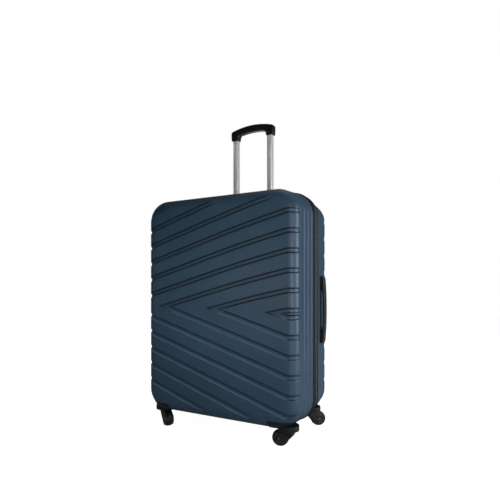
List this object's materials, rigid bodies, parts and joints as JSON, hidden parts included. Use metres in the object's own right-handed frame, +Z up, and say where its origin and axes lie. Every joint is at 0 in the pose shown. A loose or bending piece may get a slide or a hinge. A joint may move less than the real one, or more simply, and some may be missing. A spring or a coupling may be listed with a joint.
{
  "type": "hard shell spinner suitcase",
  "caption": "Upright hard shell suitcase with chevron-ribbed halves joined by a zip, telescopic trolley, carry handles and swivel casters.",
  "frame": {"origin": "on the floor under the middle of the whole object, side handle included; the seam between the two shells lies in the plane y = 0", "axes": "+Z up, -Y out of the front shell, +Y out of the rear shell that carries the trolley, +X towards the side handle"},
  "size_m": [0.532, 0.314, 1.0186],
  "materials": {
    "shell_blue": "satin petrol-blue moulded polypropylene",
    "piping_black": "matte black extruded piping",
    "tape_brown": "grey-brown woven zip tape",
    "lining_grey": "grey woven polyester",
    "webbing_black": "black woven webbing and mesh",
    "black_plastic": "fine-textured black plastic",
    "handle_rubber": "dark brown-black soft-touch rubber",
    "aluminium": "satin anodised",
    "steel": "plated",
    "tyre_black": "black polyurethane"
  },
  "bodies": {
    "root": {"rear_shell": "shell_blue", "rear_piping": "piping_black", "rear_zip_tape": "tape_brown", "hinge_gusset": "tape_brown", "rear_lining": "lining_grey", "packing_strap_left": "webbing_black", "packing_strap_right": "webbing_black", "strap_buckle": "black_plastic", "trolley_well": "black_plastic", "trolley_foot": "black_plastic", "outer_tube_left": "aluminium", "outer_tube_right": "aluminium", "lock_case": "black_plastic", "lock_dial_axle": "steel", "side_handle_mount_lower": "handle_rubber", "side_handle_mount_upper": "handle_rubber", "top_handle_mount_left": "handle_rubber", "top_handle_mount_right": "handle_rubber", "caster_housing_rear_right": "black_plastic", "caster_housing_rear_left": "black_plastic"},
    "front": {"front_shell": "shell_blue", "front_piping": "piping_black", "front_zip_tape": "tape_brown", "front_lining": "lining_grey", "divider_panel": "webbing_black", "caster_housing_front_right": "black_plastic", "caster_housing_front_left": "black_plastic"},
    "trolley": {"inner_tube_left": "aluminium", "inner_tube_right": "aluminium", "grip_front": "black_plastic", "grip_back": "black_plastic", "release_spring": "steel"},
    "release": {"release_button": "black_plastic", "push_rod_left": "steel", "push_rod_right": "steel"},
    "lock_pin_left": {"lock_pin_left": "steel"},
    "lock_pin_right": {"lock_pin_right": "steel"},
    "zip_slider_left": {"zip_slider_left": "steel"},
    "zip_slider_right": {"zip_slider_right": "steel"},
    "zip_pull_left": {"zip_pull_left": "steel"},
    "zip_pull_right": {"zip_pull_right": "steel"},
    "lock_dial_1": {"lock_dial_1": "black_plastic"},
    "lock_dial_2": {"lock_dial_2": "black_plastic"},
    "lock_dial_3": {"lock_dial_3": "black_plastic"},
    "lock_button": {"lock_button": "steel"},
    "side_handle": {"side_handle_grip": "handle_rubber"},
    "top_handle": {"top_handle_grip": "handle_rubber"},
    "swivel_front_right": {"caster_fork_front_right": "black_plastic", "caster_axle_front_right": "steel"},
    "wheel_front_right": {"caster_wheel_front_right": "tyre_black"},
    "swivel_front_left": {"caster_fork_front_left": "black_plastic", "caster_axle_front_left": "steel"},
    "wheel_front_left": {"caster_wheel_front_left": "tyre_black"},
    "swivel_rear_right": {"caster_fork_rear_right": "black_plastic", "caster_axle_rear_right": "steel"},
    "wheel_rear_right": {"caster_wheel_rear_right": "tyre_black"},
    "swivel_rear_left": {"caster_fork_rear_left": "black_plastic", "caster_axle_rear_left": "steel"},
    "wheel_rear_left": {"caster_wheel_rear_left": "tyre_black"}
  },
  "joints": [
    {"name": "front_shell_open", "type": "hinge", "parent": "root", "child": "front", "pos_m": [-0.268, 0, 0.391], "axis": [0, 0, -1], "range_deg": [0, 180]},
    {"name": "trolley_slide", "type": "slide", "parent": "root", "child": "trolley", "axis": [0, 0, 1], "range_m": [-0.283, 0]},
    {"name": "release_press", "type": "slide", "parent": "trolley", "child": "release", "axis": [0, 0, -1], "range_m": [0, 0.003], "stiffness_N_per_m": 1500, "springref_m": -0.001, "deforming": ["release_spring"]},
    {"name": "lock_pin_left_retract", "type": "slide", "parent": "trolley", "child": "lock_pin_left", "axis": [-1, 0, 0], "range_m": [0, 0.003]},
    {"name": "lock_pin_right_retract", "type": "slide", "parent": "trolley", "child": "lock_pin_right", "axis": [1, 0, 0], "range_m": [0, 0.003]},
    {"name": "zip_slider_left_run", "type": "slide", "parent": "root", "child": "zip_slider_left", "axis": [1, 0, 0], "range_m": [-0.12, 0]},
    {"name": "zip_pull_left_flip", "type": "hinge", "parent": "zip_slider_left", "child": "zip_pull_left", "pos_m": [-0.03, 0, 0.7355], "axis": [0, 1, 0], "range_deg": [0, 180]},
    {"name": "zip_slider_right_run", "type": "slide", "parent": "root", "child": "zip_slider_right", "axis": [1, 0, 0], "range_m": [0, 0.12]},
    {"name": "zip_pull_right_flip", "type": "hinge", "parent": "zip_slider_right", "child": "zip_pull_right", "pos_m": [0.018, 0, 0.7355], "axis": [0, -1, 0], "range_deg": [0, 180]},
    {"name": "lock_dial_1_turn", "type": "hinge", "parent": "root", "child": "lock_dial_1", "pos_m": [-0.028, 0.029, 0.73079], "axis": [1, 0, 0], "continuous": true},
    {"name": "lock_dial_2_turn", "type": "hinge", "parent": "root", "child": "lock_dial_2", "pos_m": [-0.02, 0.029, 0.73079], "axis": [1, 0, 0], "continuous": true},
    {"name": "lock_dial_3_turn", "type": "hinge", "parent": "root", "child": "lock_dial_3", "pos_m": [-0.012, 0.029, 0.73079], "axis": [1, 0, 0], "continuous": true},
    {"name": "lock_button_press", "type": "slide", "parent": "root", "child": "lock_button", "axis": [0, 0, -1], "range_m": [0, 0.002], "stiffness_N_per_m": 600, "springref_m": -0.0005},
    {"name": "side_handle_lift", "type": "slide", "parent": "root", "child": "side_handle", "axis": [1, 0, 0], "range_m": [0, 0.008], "stiffness_N_per_m": 400, "springref_m": -0.001},
    {"name": "top_handle_lift", "type": "slide", "parent": "root", "child": "top_handle", "axis": [0, 0, 1], "range_m": [0, 0.008], "stiffness_N_per_m": 400, "springref_m": -0.001},
    {"name": "caster_swivel_front_right", "type": "hinge", "parent": "front", "child": "swivel_front_right", "pos_m": [0.207, -0.107, 0.05], "axis": [0, 0, 1], "continuous": true},
    {"name": "wheel_spin_front_right", "type": "hinge", "parent": "swivel_front_right", "child": "wheel_front_right", "pos_m": [0.18219, -0.10395, 0.0232], "axis": [-0.1219, -0.9925, 0], "continuous": true},
    {"name": "caster_swivel_front_left", "type": "hinge", "parent": "front", "child": "swivel_front_left", "pos_m": [-0.219, -0.107, 0.05], "axis": [0, 0, 1], "continuous": true},
    {"name": "wheel_spin_front_left", "type": "hinge", "parent": "swivel_front_left", "child": "wheel_front_left", "pos_m": [-0.19827, -0.12098, 0.0232], "axis": [0.5592, 0.829, 0], "continuous": true},
    {"name": "caster_swivel_rear_right", "type": "hinge", "parent": "root", "child": "swivel_rear_right", "pos_m": [0.207, 0.107, 0.05], "axis": [0, 0, 1], "continuous": true},
    {"name": "wheel_spin_rear_right", "type": "hinge", "parent": "swivel_rear_right", "child": "wheel_rear_right", "pos_m": [0.22405, 0.12528, 0.0232], "axis": [-0.7314, 0.682, 0], "continuous": true},
    {"name": "caster_swivel_rear_left", "type": "hinge", "parent": "root", "child": "swivel_rear_left", "pos_m": [-0.219, 0.107, 0.05], "axis": [0, 0, 1], "continuous": true},
    {"name": "wheel_spin_rear_left", "type": "hinge", "parent": "swivel_rear_left", "child": "wheel_rear_left", "pos_m": [-0.19551, 0.11555, 0.0232], "axis": [-0.342, 0.9397, 0], "continuous": true}
  ],
  "couplings": [
    {"joint": "lock_pin_left_retract", "follows": "release_press", "ratio": 1},
    {"joint": "lock_pin_right_retract", "follows": "release_press", "ratio": 1}
  ]
}
